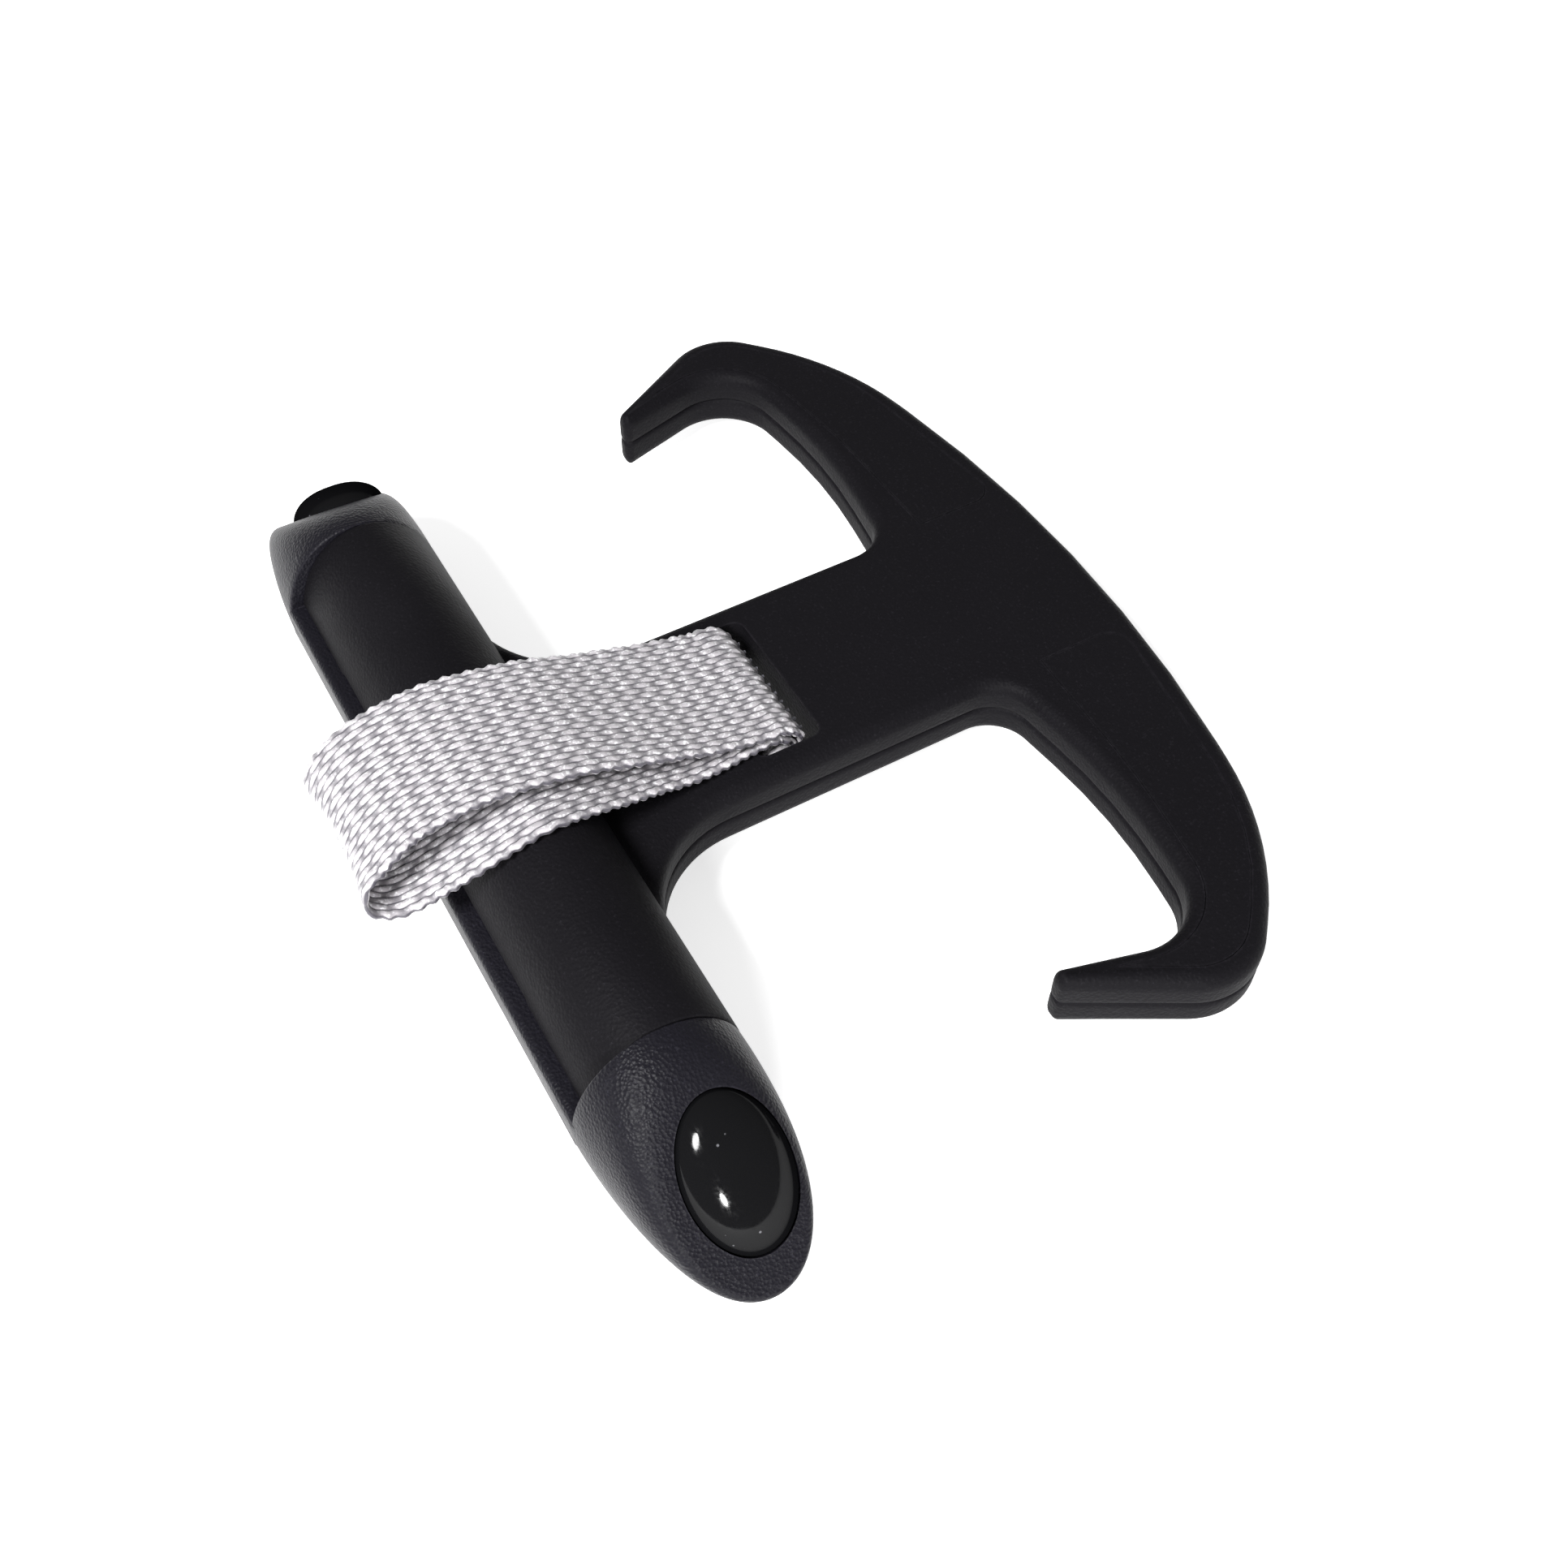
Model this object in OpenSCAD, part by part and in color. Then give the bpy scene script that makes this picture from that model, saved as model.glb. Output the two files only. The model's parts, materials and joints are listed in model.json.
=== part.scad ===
// T-grip line handle: an anchor-shaped hook plate on a flat stem, an oval cross grip and a webbing loop.
// Millimetres. Origin: middle of the grip, on the parting plane of the two shells.
// +X runs along the stem to the crown of the anchor, +Y along the grip, +Z up.

/* [Anchor plate] */
// Thickness of the stem and the anchor, both shells together
plate_t = 8.9; // [8.5:0.1:11]
// Distance from the grip axis to the crown of the anchor
crown_x = 84.4; // [83:0.1:87]
// Width of the anchor across its two arms
anchor_w = 126.6; // [125:0.1:129]
// Width of the stem
stem_w = 28.6; // [27.6:0.1:29.6]
// Distance from the grip axis to the end of each bill
bill_x = 43.2; // [42.6:0.1:45]
// Radius of the fillets between the stem and the grip
neck_r = 14.5; // [10:0.5:16]
// Step that eases the outer edges of the plate
edge_step = 0.6; // [0.3:0.1:0.8]
// Width of the rim round the pad on each arm
pad_rim = 2.1; // [1.8:0.1:2.6]
// Depth of the pocket that each pad is laid in
pad_depth = 0.8; // [0.5:0.1:1]

/* [Grip] */
// Thickness of the grip front to back
grip_d = 19.4; // [18.2:0.2:20]
// Height of the grip
grip_h = 25.8; // [25:0.2:27]
// Length of the grip between its two end caps
core_l = 85; // [82:0.5:88]
// Length of each end cap
cap_l = 25.6; // [24.5:0.1:27]
// How far the back rail stands out from the grip
rail_proud = 1.7; // [0.6:0.1:1.9]
// Height of the back rail
rail_h = 5.4; // [4.6:0.1:5.6]

/* [Lenses] */
// Width of the oval lens in each end cap
lens_w = 12.5; // [11:0.1:13]
// Length of the lens along the slope of the cap
lens_l = 18.5; // [17.5:0.1:19]
// Height of the lens dome over the cap
lens_dome = 2.9; // [1.5:0.1:3]
// Slope of the lens face from the horizontal, in degrees
lens_slope = 42.2; // [41:0.1:43]

/* [Webbing] */
// Width of the webbing
web_w = 20; // [18:0.5:20]
// Thickness of the webbing
web_t = 1.3; // [1.1:0.05:1.3]
// Diameter of the pin that the webbing turns on
pin_d = 4; // [3.6:0.1:4]
// Distance from the grip axis to the crown side of the webbing slot
slot_x = 38.6; // [38.4:0.1:39]

/* [Hidden] */
$fn = 48;

eps = 0.01;
gap = 0.05;              // clearance between parts that sit against each other
skin = 2;                // wall thickness of the mouldings
part_step = 0.3;         // depth of the groove along the parting line
half_t = plate_t / 2;
half_w = anchor_w / 2;
half_stem = stem_w / 2;
grip_a = grip_d / 2;
grip_b = grip_h / 2;
seam_y = core_l / 2;

// Corners of one arm of the anchor, as [x, y, corner radius]; an arc of that radius rounds each corner.
crown = [crown_x + 3.7, 0, 180];
shoulder = [crown_x - 6.5, half_w - 13.2, 43];
bill_back = [crown_x - 21.8, half_w + 2.7, 9.2];
bill_point = [crown_x - 48.8, half_w - 12.95, 0];    // where the two edges of the bill would meet
throat = [crown_x - 21.45, half_w - 5.85, 7.9];
belly = [crown_x - 18.27, half_w - 28.3, 78];
armpit = [crown_x - 21.2, half_stem, 5.6];
neck = [grip_a - 0.9, half_stem, neck_r];
neck_end = half_stem + neck_r + 1;

function at_x(a, b, x, r) = [x, a[1] + (b[1] - a[1]) * (x - a[0]) / (b[0] - a[0]), r];
bill_outer = at_x(bill_back, bill_point, bill_x, 1.1);
bill_inner = at_x(throat, bill_point, bill_x, 1);
half_outline = [shoulder, bill_back, bill_outer, bill_inner, throat, belly, armpit, neck,
                [neck[0], neck_end, 0], [0, neck_end, 0]];
outline = concat([crown], half_outline, reverse([for (v = half_outline) [v[0], -v[1], v[2]]]));
pad_outline = [[crown_x - 17.6, half_stem - pad_rim, 1.2], [crown_x - 0.6, half_stem - pad_rim, 5],
               [shoulder[0], shoulder[1], 38], bill_back, bill_point, throat, belly];

// Screws along the plate, and the two longer ones in the grip, all driven from below.
plate_screw_at = [[20, 0], [50, 0], [74, 20], [74, -20], [70.6, 46], [70.6, -46]];
grip_screw_at = [[1.5, 28], [1.5, -28]];
// Hollows in each half of the plate, as [x, y, length, width].
hollows = [[13, 2, 10, 9], [43, 2, 18, 9], [64.5, 2, 14, 10], [70.8, 14.8, 8.2, 11.7], [69.6, 28.5, 8.2, 11]];
screw_r = 1.3;
head_r = 2.5;
head_t = 1.6;
boss_r = 3.4;
plate_head_depth = 0.5;            // how deep the top of each head lies under the skin
grip_head_depth = 3;
plate_tip_z = half_t - 1.3;
grip_tip_z = grip_b - 5;

// Webbing slot, pin and the fold line over which the loop swings.
slot_l = 9.1;
slot_w = web_w + 1.6;
pin_r = pin_d / 2;
pin_l = 26;
eye_r = pin_r + 0.1 + web_t;       // outer radius of the webbing eye
pin_x = slot_x - 1.7 - eye_r;
fold_x = pin_x + eye_r - web_t;
fold_z = half_t + 0.45;

// End caps.
cap_x = -0.1;                       // middle of the caps, from the grip axis
lens_x = 1;
lens_seat = 2.5;                   // depth of the lens's seat in the cap
lens_y = seam_y + 14.4;
lens_dist = 41.1;                  // distance of the lens face from the grip's centre
tongue = [12, 14, 5.5];            // tongue of the lower shell inside each cap
tongue_top = -1;
cap_screw_y = seam_y + 11.5;
cap_screw_tip = -grip_b + 4;

function reverse(v) = [for (i = [len(v) - 1:-1:0]) v[i]];
function unit(v) = v / norm(v);
function xy(v) = [v[0], v[1]];
function turn(a, b, c) = let (u = unit(xy(b) - xy(a)), w = unit(xy(c) - xy(b)))
    atan2(cross2(u, w), u * w);
function cross2(a, b) = a[0] * b[1] - a[1] * b[0];
function meet(p, u, q, w) = p + u * cross2(q - p, w) / cross2(u, w);

// Moves every side of a closed path inwards by d and keeps its corner arcs concentric. The path runs
// anticlockwise as seen from above.
function inset(v, d) = let (n = len(v)) [for (i = [0:n - 1])
    let (a = v[(i + n - 1) % n], b = v[i], c = v[(i + 1) % n],
         u = unit(xy(b) - xy(a)), w = unit(xy(c) - xy(b)),
         p = meet(xy(a) + d * [-u[1], u[0]], u, xy(b) + d * [-w[1], w[0]], w),
         r = b[2] == 0 ? 0 : max(b[2] - sign(turn(a, b, c)) * d, 0.05))
    [p[0], p[1], r]];

// Points along a closed path with an arc at each corner, one point for about every 10 degrees of turn.
function round_path(v) = let (n = len(v)) [for (i = [0:n - 1])
    let (a = v[(i + n - 1) % n], b = v[i], c = v[(i + 1) % n], t = turn(a, b, c),
         u = unit(xy(b) - xy(a)), s = b[2] * abs(tan(t / 2)),
         side = sign(t) * [-u[1], u[0]], centre = xy(b) - u * s + side * b[2],
         steps = b[2] == 0 ? 0 : max(2, ceil(abs(t) / 10)))
    for (k = [0:steps]) steps == 0 ? xy(b) :
        let (q = t * k / steps) centre + b[2] * [-side[0] * cos(q) + side[1] * sin(q),
                                                 -side[1] * cos(q) - side[0] * sin(q)]];

function oval(a, b, n = 48) = [for (i = [0:n - 1]) [a * cos(360 * i / n), b * sin(360 * i / n)]];

// Closed skin over a stack of loops that all have the same number of points; each loop runs anticlockwise as
// seen from beyond the last one.
module loft(loops) {
    n = len(loops[0]);
    last = len(loops) - 1;
    polyhedron([for (l = loops) each l], concat(
        [[for (i = [0:n - 1]) i]],
        [for (k = [0:last - 1]) for (i = [0:n - 1]) each let (j = (i + 1) % n)
            [[k * n + i, (k + 1) * n + j, k * n + j], [k * n + i, (k + 1) * n + i, (k + 1) * n + j]]],
        [[for (i = [0:n - 1]) last * n + n - 1 - i]]), convexity = 8);
}

// An extrusion along Y of a 2D shape drawn in X and Z, centred on y.
module along_y(length, y = 0) {
    translate([0, y + length / 2, 0]) rotate([90, 0, 0]) linear_extrude(length) children();
}

module mirrored_y() {
    children();
    mirror([0, 1, 0]) children();
}

// Upper half of the plate, with a shallow step along the parting line and another round its face.
module half_plate() {
    linear_extrude(half_t - edge_step) polygon(round_path(inset(outline, part_step)));
    translate([0, 0, part_step]) linear_extrude(half_t - edge_step - part_step) polygon(round_path(outline));
    linear_extrude(half_t) polygon(round_path(inset(outline, edge_step)));
}

// Upper half of the grip's core, with the channel along its back for the rail.
module half_core() {
    difference() {
        along_y(core_l) intersection() {
            polygon(oval(grip_a, grip_b));
            translate([-grip_a, 0]) square([grip_d, grip_b]);
        }
        translate([-grip_a - 1, -seam_y - 1, -1]) cube([grip_a - 5, core_l + 2, rail_h / 2 + 1.4]);
        translate([-grip_a - 1, -28, -1]) cube([grip_a - 5, 56, rail_h / 2 + 1.8]);
    }
}

// Hollows inside a half shell, which leave walls, ribs and the bosses for the screws.
module half_hollows() {
    difference() {
        mirrored_y() {
            intersection() {
                along_y(seam_y * 2) polygon(oval(grip_a - skin, grip_b - skin));
                for (y = [3, 22.5]) translate([-3.4, y, -1]) cube([grip_d, 16.5, grip_h]);
            }
            for (b = hollows) translate([b[0], b[1], -1]) cube([b[2], b[3], half_t - skin + 1]);
        }
        for (p = concat(plate_screw_at, grip_screw_at))
            translate([p[0], p[1], -2]) cylinder(r = boss_r, h = grip_h);
    }
}

// The through slot for the webbing, with the seat of the pin on either side.
module slot_cut() {
    translate([slot_x - slot_l, -slot_w / 2, -half_t - 1]) cube([slot_l, slot_w, plate_t + 2]);
    translate([pin_x, 0, 0]) rotate([90, 0, 0]) cylinder(r = pin_r + gap, h = pin_l + 2 * gap, center = true);
}

module half_shell() {
    difference() {
        union() {
            half_plate();
            half_core();
        }
        half_hollows();
        slot_cut();
    }
}

module pad_solid(rim, depth) {
    linear_extrude(depth) polygon(round_path(inset(pad_outline, rim)));
}

// Hole for a screw's thread in the upper shell, with a little room beyond the tip.
module screw_hole(at, tip_z) {
    translate([at[0], at[1], -1]) cylinder(r = screw_r + gap / 2, h = tip_z + 1.2);
}

// Clearance hole and counterbore for a screw in the lower shell, whose skin lies at skin_z.
module counterbore(at, skin_z, depth) {
    translate([at[0], at[1], skin_z - 1]) {
        cylinder(r = screw_r + 0.15, h = grip_h);
        cylinder(r = head_r + 0.2, h = 1 + depth + head_t + gap);
    }
}

module upper_shell() {
    color([0.07, 0.07, 0.075]) difference() {
        half_shell();
        mirrored_y() translate([0, 0, half_t - pad_depth]) pad_solid(pad_rim, pad_depth + 1);
        for (p = plate_screw_at) screw_hole(p, plate_tip_z);
        for (p = grip_screw_at) screw_hole(p, grip_tip_z);
    }
}

module lower_shell() {
    color([0.07, 0.07, 0.075]) difference() {
        union() {
            mirror([0, 0, 1]) half_shell();
            mirrored_y() translate([-tongue[0] / 2, seam_y - 2, tongue_top - tongue[2]])
                cube([tongue[0], tongue[1] + 2, tongue[2]]);
        }
        for (p = plate_screw_at) counterbore(p, -half_t, plate_head_depth);
        for (p = grip_screw_at) counterbore(p, -grip_b, grip_head_depth);
        mirrored_y() translate([0, cap_screw_y, -grip_b]) cylinder(r = screw_r + 0.15, h = grip_h);
    }
}

// Pads laid in the pockets of the two arms.
module arm_pad() {
    color([0.09, 0.09, 0.095]) translate([0, 0, half_t - pad_depth + gap])
        pad_solid(pad_rim + gap, pad_depth);
}
module left_arm_pad() { arm_pad(); }
module right_arm_pad() { mirror([0, 1, 0]) arm_pad(); }

// Places children on the lens face of the left cap: Z along the face's outward normal, Y down its slope.
module on_lens_face() {
    translate([lens_x, lens_y, (lens_dist - lens_y * sin(lens_slope)) / cos(lens_slope)])
        rotate([-lens_slope, 0, 0]) children();
}

// Blunt oval nose of a cap, from the seam outwards.
module cap_body() {
    steps = 9;
    loft([for (k = [0:steps]) let (q = 81 * k / steps)
        [for (p = oval((grip_a + 0.9) * cos(q), (grip_b + 0.1) * cos(q), 40))
            [cap_x - p[0], seam_y + (cap_l + 2) * sin(q), p[1]]]]);
}

module end_cap() {
    difference() {
        cap_body();
        // slanted face that carries the lens
        on_lens_face() translate([-20, -30, 0]) cube([40, 60, 30]);
        // socket for the tongue, seat of the lens and the driver's way to the screw
        translate([-tongue[0] / 2 - gap, seam_y - 1, tongue_top - tongue[2] - gap])
            cube([tongue[0] + 2 * gap, tongue[1] + 1 + 4 * gap, tongue[2] + 2 * gap]);
        on_lens_face() translate([0, 0, -lens_seat]) linear_extrude(4) polygon(oval(lens_w / 2, lens_l / 2));
        translate([0, cap_screw_y, tongue_top - eps]) cylinder(r = head_r + 0.4, h = 12);
        translate([0, cap_screw_y, cap_screw_tip - 0.2]) cylinder(r = screw_r + gap / 2, h = 10);
    }
}

module back_rail() {
    along_y(core_l + 1) intersection() {
        polygon(oval(grip_a + rail_proud, grip_b + 1));
        translate([-grip_a - 2, -rail_h / 2]) square([grip_a - 4.4, rail_h]);
    }
}

// The two end caps and the rail that joins them behind the core: one springy moulding.
module grip_bow() {
    color([0.11, 0.105, 0.12]) {
        mirrored_y() end_cap();
        back_rail();
    }
}

module lens() {
    rise = [for (a = [0:18:72]) [sin(a), cos(a)]];
    on_lens_face() {
        translate([0, 0, -lens_seat + gap]) linear_extrude(lens_seat - gap + eps)
            polygon(oval(lens_w / 2 - gap, lens_l / 2 - gap));
        loft([for (r = rise) [for (p = oval((lens_w / 2 - gap) * r[1], (lens_l / 2 - gap) * r[1]))
            [p[0], p[1], lens_dome * r[0]]]]);
    }
}
module left_lens() { color([0.02, 0.02, 0.02]) lens(); }
module right_lens() { color([0.02, 0.02, 0.02]) mirror([0, 1, 0]) lens(); }

// Pan-head screw along Z, its head's inner face at head_z and its point at tip_z, with a cross in its head.
module screw(at, head_z, tip_z) {
    down = sign(head_z - tip_z);
    length = abs(tip_z - head_z);
    translate([at[0], at[1], head_z]) mirror([0, 0, down > 0 ? 1 : 0]) difference() {
        union() {
            cylinder(r = screw_r, h = length - 1);
            translate([0, 0, length - 1 - eps]) cylinder(r1 = screw_r, r2 = 0.3, h = 1);
            translate([0, 0, -head_t]) cylinder(r = head_r, h = head_t + eps);
        }
        for (a = [0, 90]) rotate([0, 0, a]) translate([-1.4, -0.3, -head_t - eps]) cube([2.8, 0.6, 0.9]);
    }
}

module plate_screws() {
    color([0.72, 0.73, 0.75]) for (p = plate_screw_at)
        screw(p, -half_t + plate_head_depth + head_t, plate_tip_z);
}
module grip_screws() {
    color([0.72, 0.73, 0.75]) for (p = grip_screw_at)
        screw(p, -grip_b + grip_head_depth + head_t, grip_tip_z);
}
module cap_screws() {
    color([0.72, 0.73, 0.75]) for (s = [1, -1]) screw([0, s * cap_screw_y], tongue_top + gap, cap_screw_tip);
}

module strap_pin() {
    color([0.75, 0.76, 0.78]) translate([pin_x, 0, 0]) rotate([90, 0, 0])
        cylinder(r = pin_r, h = pin_l, center = true);
}

// The sewn end of the webbing: an eye round the pin, and the doubled neck that leads up the slot.
module strap_eye() {
    top = fold_z - web_t - 0.15;
    color([0.78, 0.78, 0.8]) along_y(web_w) difference() {
        union() {
            translate([pin_x, 0]) circle(r = eye_r);
            translate([fold_x - web_t, 0]) square([2 * web_t, top]);
        }
        translate([pin_x, 0]) circle(r = eye_r - web_t);
    }
}

// Points of a path moved sideways by d, with mitred corners.
function beside(path, d) = let (last = len(path) - 1) [for (i = [0:last])
    let (j = max(i, 1), k = min(i, last - 1),
         a = unit(path[j] - path[j - 1]), b = unit(path[k + 1] - path[k]),
         n = unit([-a[1] - b[1], a[0] + b[0]]))
    path[i] + n * d / (n * [-a[1], a[0]])];

// The loop seen edge on: back over the grip, round the far fold and forward again in a second layer below.
module loop_profile() {
    t = web_t / 2;
    over = grip_b + 0.15 + t;                    // middle of the lower layer over the grip
    rest = half_t + 0.15 + t;                    // middle of the lower layer over the stem
    path = [[fold_x, fold_z + t], [24, 8.6], [14, 12.6], [6, 15.8], [-1, 17.2], [-6, 17.5], [-11, 16.9],
            [-14.5, 16], [-17.6, 14.4], [-19.3, 12.6], [-19.5, 10.8], [-18.6, 9.3], [-16.8, 8.8],
            [-12, over - 3.4], [-5, over - 0.8], [-1, over], [2, over], [7, over - 1.6],
            [19, rest + 1.2], [23, rest + 0.2], [30.2, rest], [fold_x, fold_z - t]];
    polygon(concat(beside(path, t), reverse(beside(path, -t))));
    translate([fold_x, fold_z]) circle(r = web_t + 0.05);
}

// The loop swings about the mouth of the slot, and lies a little to one side of the stem where it leaves it.
module strap_loop() {
    split_x = 25;
    color([0.78, 0.78, 0.8]) {
        along_y(web_w) intersection() {
            loop_profile();
            translate([split_x, 0]) square([20, 30]);
        }
        along_y(web_w, -2.5) intersection() {
            loop_profile();
            translate([split_x + 1 - 60, 0]) square([60, 30]);
        }
    }
}

// Two rows of stitches through the doubled neck, below the mouth of the slot.
module strap_stitching() {
    color([0.85, 0.85, 0.87]) for (z = [2.6, 3.3], y = [-8:1.6:8])
        translate([fold_x, y, z]) rotate([0, 90, 0]) cylinder(r = 0.22, h = 2 * web_t + 0.4, center = true);
}

upper_shell();
lower_shell();
left_arm_pad();
right_arm_pad();
grip_bow();
left_lens();
right_lens();
cap_screws();
plate_screws();
grip_screws();
strap_pin();
strap_eye();
strap_loop();
strap_stitching();
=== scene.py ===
"""Looks for the T-grip line handle: moulded shells, glossy lenses and woven webbing round the CAD frame."""
import json
import math

import bmesh
import bpy
from mathutils import Matrix, Vector


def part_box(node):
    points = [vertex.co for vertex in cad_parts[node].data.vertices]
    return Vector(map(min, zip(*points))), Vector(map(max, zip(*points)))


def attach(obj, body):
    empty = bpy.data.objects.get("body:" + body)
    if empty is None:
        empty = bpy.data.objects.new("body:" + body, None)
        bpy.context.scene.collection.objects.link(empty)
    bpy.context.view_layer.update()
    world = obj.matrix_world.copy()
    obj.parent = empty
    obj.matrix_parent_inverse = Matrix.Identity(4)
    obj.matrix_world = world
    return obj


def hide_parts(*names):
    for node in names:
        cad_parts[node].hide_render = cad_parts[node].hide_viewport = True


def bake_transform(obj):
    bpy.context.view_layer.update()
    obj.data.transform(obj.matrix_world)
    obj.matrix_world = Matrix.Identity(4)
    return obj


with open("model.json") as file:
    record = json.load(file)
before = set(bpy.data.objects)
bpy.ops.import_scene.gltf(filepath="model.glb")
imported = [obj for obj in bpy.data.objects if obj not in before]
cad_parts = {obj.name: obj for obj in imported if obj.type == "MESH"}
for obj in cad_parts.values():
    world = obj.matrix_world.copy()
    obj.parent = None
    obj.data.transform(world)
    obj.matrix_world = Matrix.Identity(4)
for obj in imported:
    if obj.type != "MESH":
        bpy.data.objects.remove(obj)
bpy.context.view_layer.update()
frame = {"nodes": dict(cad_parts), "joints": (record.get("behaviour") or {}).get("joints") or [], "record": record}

MM = 0.001


# ---------------------------------------------------------------- sizes, in millimetres

def node_box(node):
    """Lowest and highest corner of a CAD node in millimetres."""
    low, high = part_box(node)
    return low / MM, high / MM


shell_high = node_box("upper_shell")[1]
bow_low, bow_high = node_box("grip_bow")
pin_low, pin_high = node_box("strap_pin")
mounts = {m["name"]: m for m in frame["record"]["mounts"]}
hinge = frame["joints"][0]["pos_m"]

# Plate
HALF_T = -mounts["underside"]["pos_m"][2] / MM      # half the thickness of the plate
PART_STEP = 0.3             # depth of the groove along the parting line
EDGE_R = 1.9                # rounding of the plate's outer edges
CROWN_X = shell_high[0] + 0.4                       # distance of the crown from the grip axis
HALF_W = shell_high[1]      # half the width of the anchor
HALF_STEM = 14.3            # half the width of the stem
BILL_X = 43.2               # distance of the ends of the bills from the grip axis
NECK_R = 14.5               # fillets between the stem and the grip
HEAD_R = 2.5                # radius of the screw heads

# Grip
GRIP_A = 9.7                # half the thickness of the grip's core
GRIP_B = shell_high[2]      # half its height
SEAM_Y = 42.5               # where the end caps meet the core
CHANNEL_X = -6.0            # floor of the channel behind the core
RAIL_H = 5.4                # height of the back rail
RAIL_BACK = bow_low[0]      # back of the rail and of the caps

# Lenses
LENS_SLOPE = math.radians(42.2)
LENS_X, LENS_Y = 1.0, SEAM_Y + 14.4                 # middle of the left lens
LENS_DIST = 41.1            # distance of the lens face from the middle of the grip
LENS_W, LENS_L = 12.5, 18.5
LENS_DOME = 2.9             # height of the dome over the lens face

# Webbing
PIN_X = (pin_low[0] + pin_high[0]) / 2
PIN_R = (pin_high[0] - pin_low[0]) / 2
WEB_W, WEB_T = 20.0, 1.3
SLOT_X = PIN_X + 5.1        # crown side of the slot
SLOT_L, SLOT_W = 9.1, WEB_W + 1.6
FOLD_X = hinge[0] / MM      # where the webbing leaves the slot
RIB = 2.9                   # length of one weave repeat along the webbing
COLUMNS = 23                # warp columns across the webbing
RELIEF = 0.30               # height of the yarns over the ground of the weave
STAGGER = (0, 0.36, 0.08, 0.44)     # share of a repeat by which neighbouring columns are shifted


# ---------------------------------------------------------------- mesh helpers

def new_object(name, mesh):
    """A scene object from a mesh, a light or a camera."""
    obj = bpy.data.objects.new(name, mesh)
    bpy.context.scene.collection.objects.link(obj)
    return obj


def mesh_object(name, bm):
    """A smooth-shaded object from a bmesh built in millimetres."""
    bmesh.ops.recalc_face_normals(bm, faces=bm.faces)
    bmesh.ops.scale(bm, vec=(MM, MM, MM), verts=bm.verts)
    for face in bm.faces:
        face.smooth = True
    mesh = bpy.data.meshes.new(name)
    bm.to_mesh(mesh)
    bm.free()
    return new_object(name, mesh)


def loft(name, loops):
    """A closed skin over a stack of loops that all have the same number of points; flat ends."""
    bm = bmesh.new()
    rows = [[bm.verts.new(p) for p in loop] for loop in loops]
    count = len(rows[0])
    for lower, upper in zip(rows, rows[1:]):
        for i in range(count):
            j = (i + 1) % count
            bm.faces.new((lower[i], lower[j], upper[j], upper[i]))
    bm.faces.new(list(reversed(rows[0])))
    bm.faces.new(rows[-1])
    return mesh_object(name, bm)


def apply_modifiers(obj):
    """Replaces an object's mesh by its evaluated mesh and removes the modifiers."""
    bpy.context.view_layer.update()
    graph = bpy.context.evaluated_depsgraph_get()
    mesh = bpy.data.meshes.new_from_object(obj.evaluated_get(graph))
    obj.modifiers.clear()
    obj.data = mesh


def boolean(obj, other, operation):
    """Exact boolean of obj with other, which is then removed."""
    modifier = obj.modifiers.new("cut", "BOOLEAN")
    modifier.operation = operation
    modifier.solver = "EXACT"
    modifier.object = other
    apply_modifiers(obj)
    bpy.data.objects.remove(other)
    return obj


def soften(obj, width):
    """Rounds every edge where faces meet at more than 40 degrees and keeps flat faces flat in the shading."""
    bevel = obj.modifiers.new("soft edges", "BEVEL")
    bevel.width = width * MM
    bevel.segments = 2
    bevel.limit_method = "ANGLE"
    bevel.angle_limit = math.radians(40)
    bevel.harden_normals = True
    bevel.use_clamp_overlap = True
    return obj


def finish_shading(obj, angle=32):
    """Smooth shading with sharp edges where faces meet at more than angle."""
    for face in obj.data.polygons:
        face.use_smooth = True
    obj.data.set_sharp_from_angle(angle=math.radians(angle))
    return obj


def rounded_box(name, low, high, radius):
    """A box with its upright edges rounded."""
    bm = bmesh.new()
    bmesh.ops.create_cube(bm, size=1)
    for v in bm.verts:
        v.co = Vector((low[i] + (v.co[i] + 0.5) * (high[i] - low[i]) for i in range(3)))
    upright = [e for e in bm.edges if abs((e.verts[0].co - e.verts[1].co).z) > 0.5 * (high[2] - low[2])]
    bmesh.ops.bevel(bm, geom=upright, offset=radius, segments=5, affect="EDGES", profile=0.5)
    return mesh_object(name, bm)


# ---------------------------------------------------------------- outlines

def corner_turn(a, b, c):
    """Signed angle by which a path turns at b."""
    u, w = (b - a).normalized(), (c - b).normalized()
    return math.atan2(u.x * w.y - u.y * w.x, u.dot(w))


def round_path(path, step=4.0):
    """Points and outward normals along a closed anticlockwise path of (x, y, corner radius)."""
    base = [Vector(p[:2]) for p in path]
    points = []
    for i, b in enumerate(base):
        radius = path[i][2]
        a, c = base[i - 1], base[(i + 1) % len(base)]
        t = corner_turn(a, b, c)
        u, w = (b - a).normalized(), (c - b).normalized()
        if not radius:
            points.append((b, (Vector((u.y, -u.x)) + Vector((w.y, -w.x))).normalized()))
            continue
        convex = 1 if t > 0 else -1
        side = Vector((-u.y, u.x)) * convex
        centre = b - u * radius * abs(math.tan(t / 2)) + side * radius
        steps = max(4, math.ceil(math.degrees(abs(t)) / step))
        for k in range(steps + 1):
            arm = Matrix.Rotation(t * k / steps, 2) @ -side
            points.append((centre + arm * radius, arm * convex))
    return points


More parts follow.
